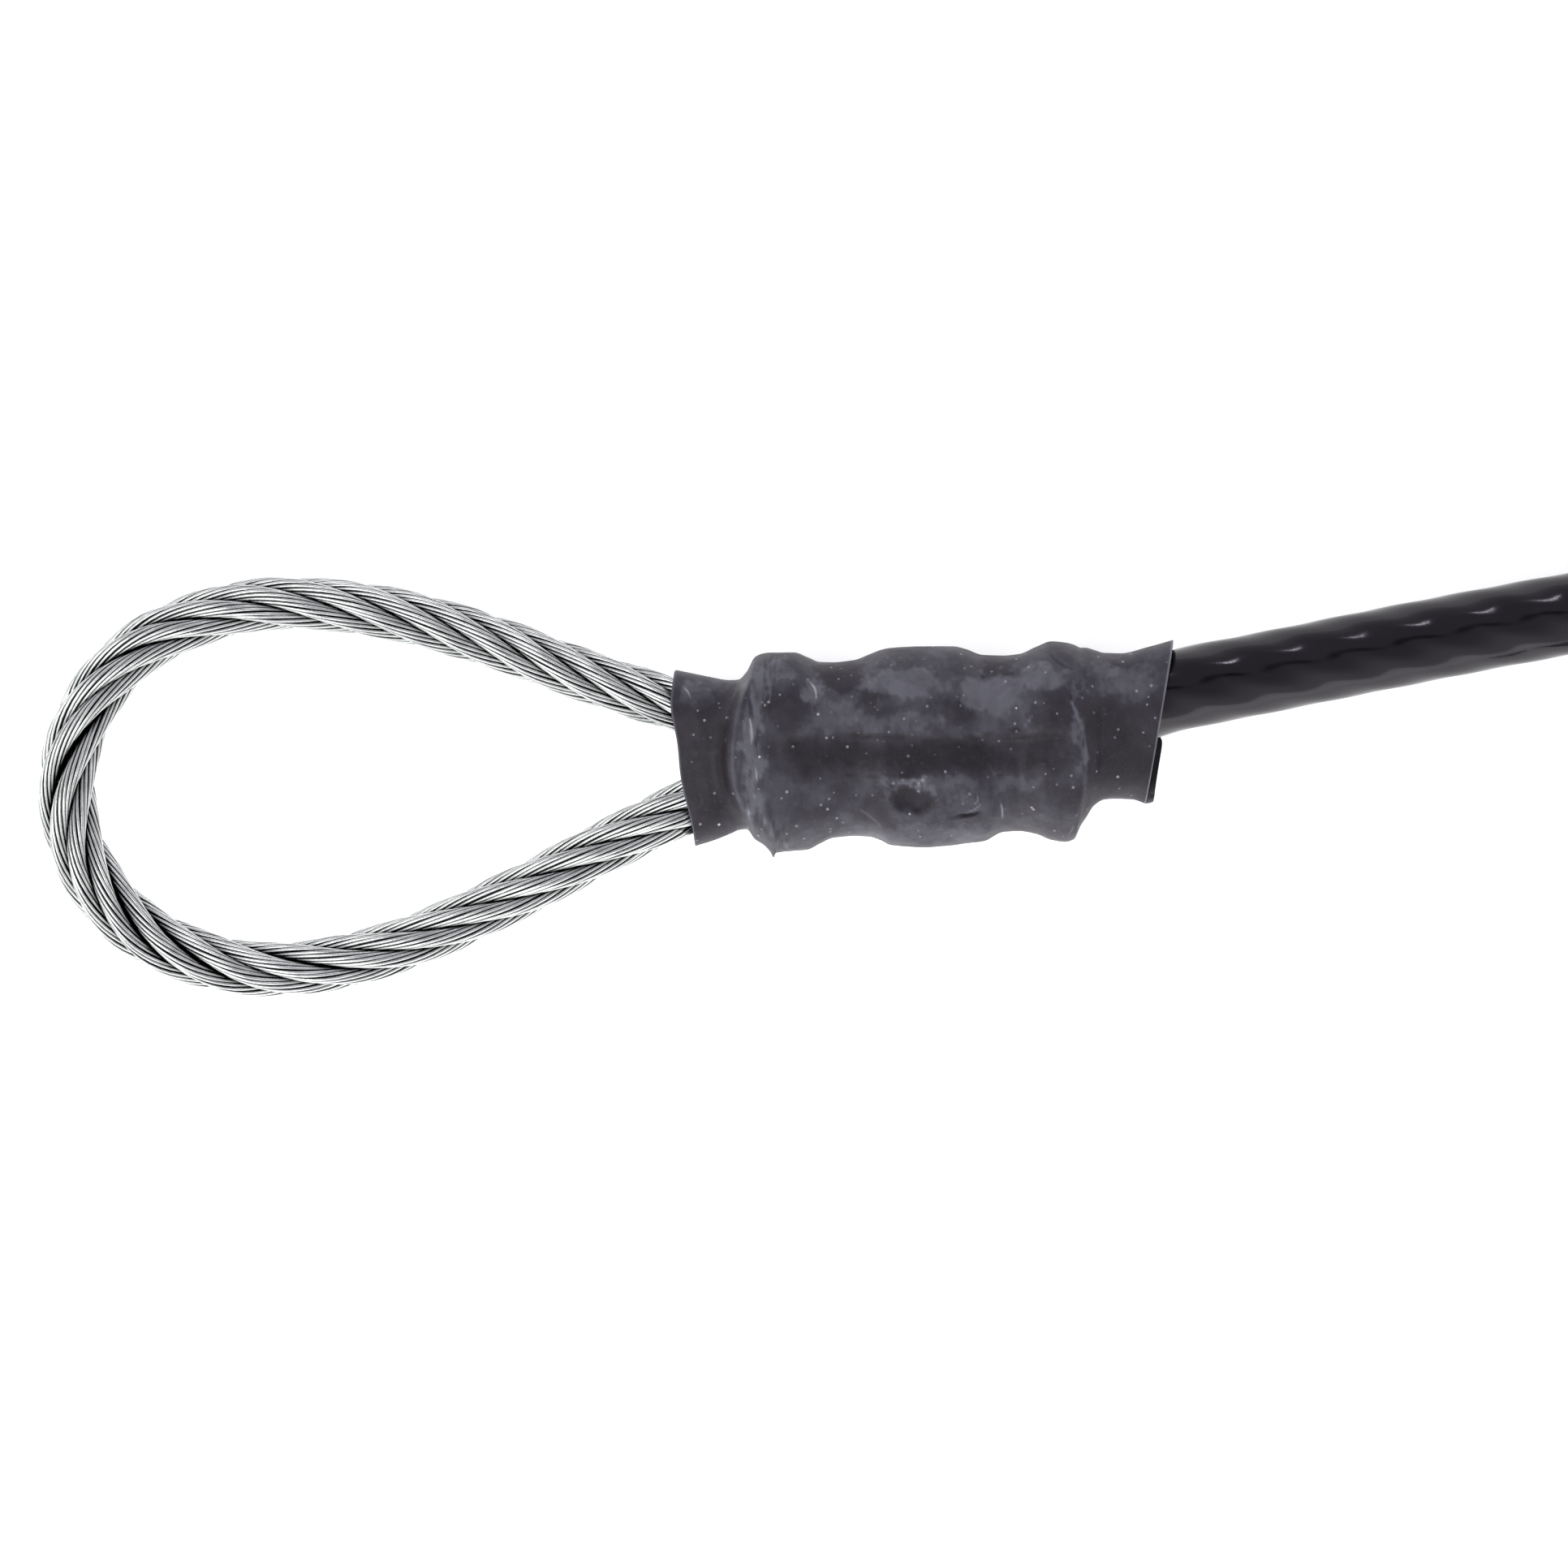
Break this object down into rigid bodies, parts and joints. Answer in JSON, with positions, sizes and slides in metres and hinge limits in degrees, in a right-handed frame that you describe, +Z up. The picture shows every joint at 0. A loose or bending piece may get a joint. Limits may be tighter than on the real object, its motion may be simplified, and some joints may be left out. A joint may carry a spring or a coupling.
{
  "type": "wire rope eye sling",
  "caption": "Plastic-coated wire rope tether with a bare soft eye at each end, each eye closed by a pressed oval ferrule under a heat-shrink sleeve.",
  "frame": {"origin": "on the surface it lies on, under the middle of the near eye with its ferrule and sleeve", "axes": "+X from the near eye towards its ferrule, +Y across the eye, +Z up from the surface"},
  "size_m": [0.2081, 0.0691, 0.0127],
  "materials": {
    "galvanised_wire": "bright zinc-coated drawn wire",
    "ferrule_metal": "plain pressed metal",
    "shrink_plastic": "matte charcoal heat-shrink tube, slightly dusty",
    "jacket_plastic": "glossy black vinyl",
    "tie_nylon": "black nylon"
  },
  "bodies": {
    "root": {"eye_strand_1": "galvanised_wire", "eye_strand_2": "galvanised_wire", "eye_strand_3": "galvanised_wire", "eye_strand_4": "galvanised_wire", "eye_strand_5": "galvanised_wire", "eye_strand_6": "galvanised_wire", "far_eye_strand_1": "galvanised_wire", "far_eye_strand_2": "galvanised_wire", "far_eye_strand_3": "galvanised_wire", "far_eye_strand_4": "galvanised_wire", "far_eye_strand_5": "galvanised_wire", "far_eye_strand_6": "galvanised_wire", "eye_core_strand": "galvanised_wire", "far_eye_core_strand": "galvanised_wire", "crimp_ferrule": "ferrule_metal", "far_crimp_ferrule": "ferrule_metal", "shrink_sleeve": "shrink_plastic", "far_shrink_sleeve": "shrink_plastic", "cable_near_run": "jacket_plastic", "cable_coil": "jacket_plastic", "cable_far_run": "jacket_plastic", "coil_tie_left": "tie_nylon", "coil_tie_right": "tie_nylon"}
  },
  "joints": []
}
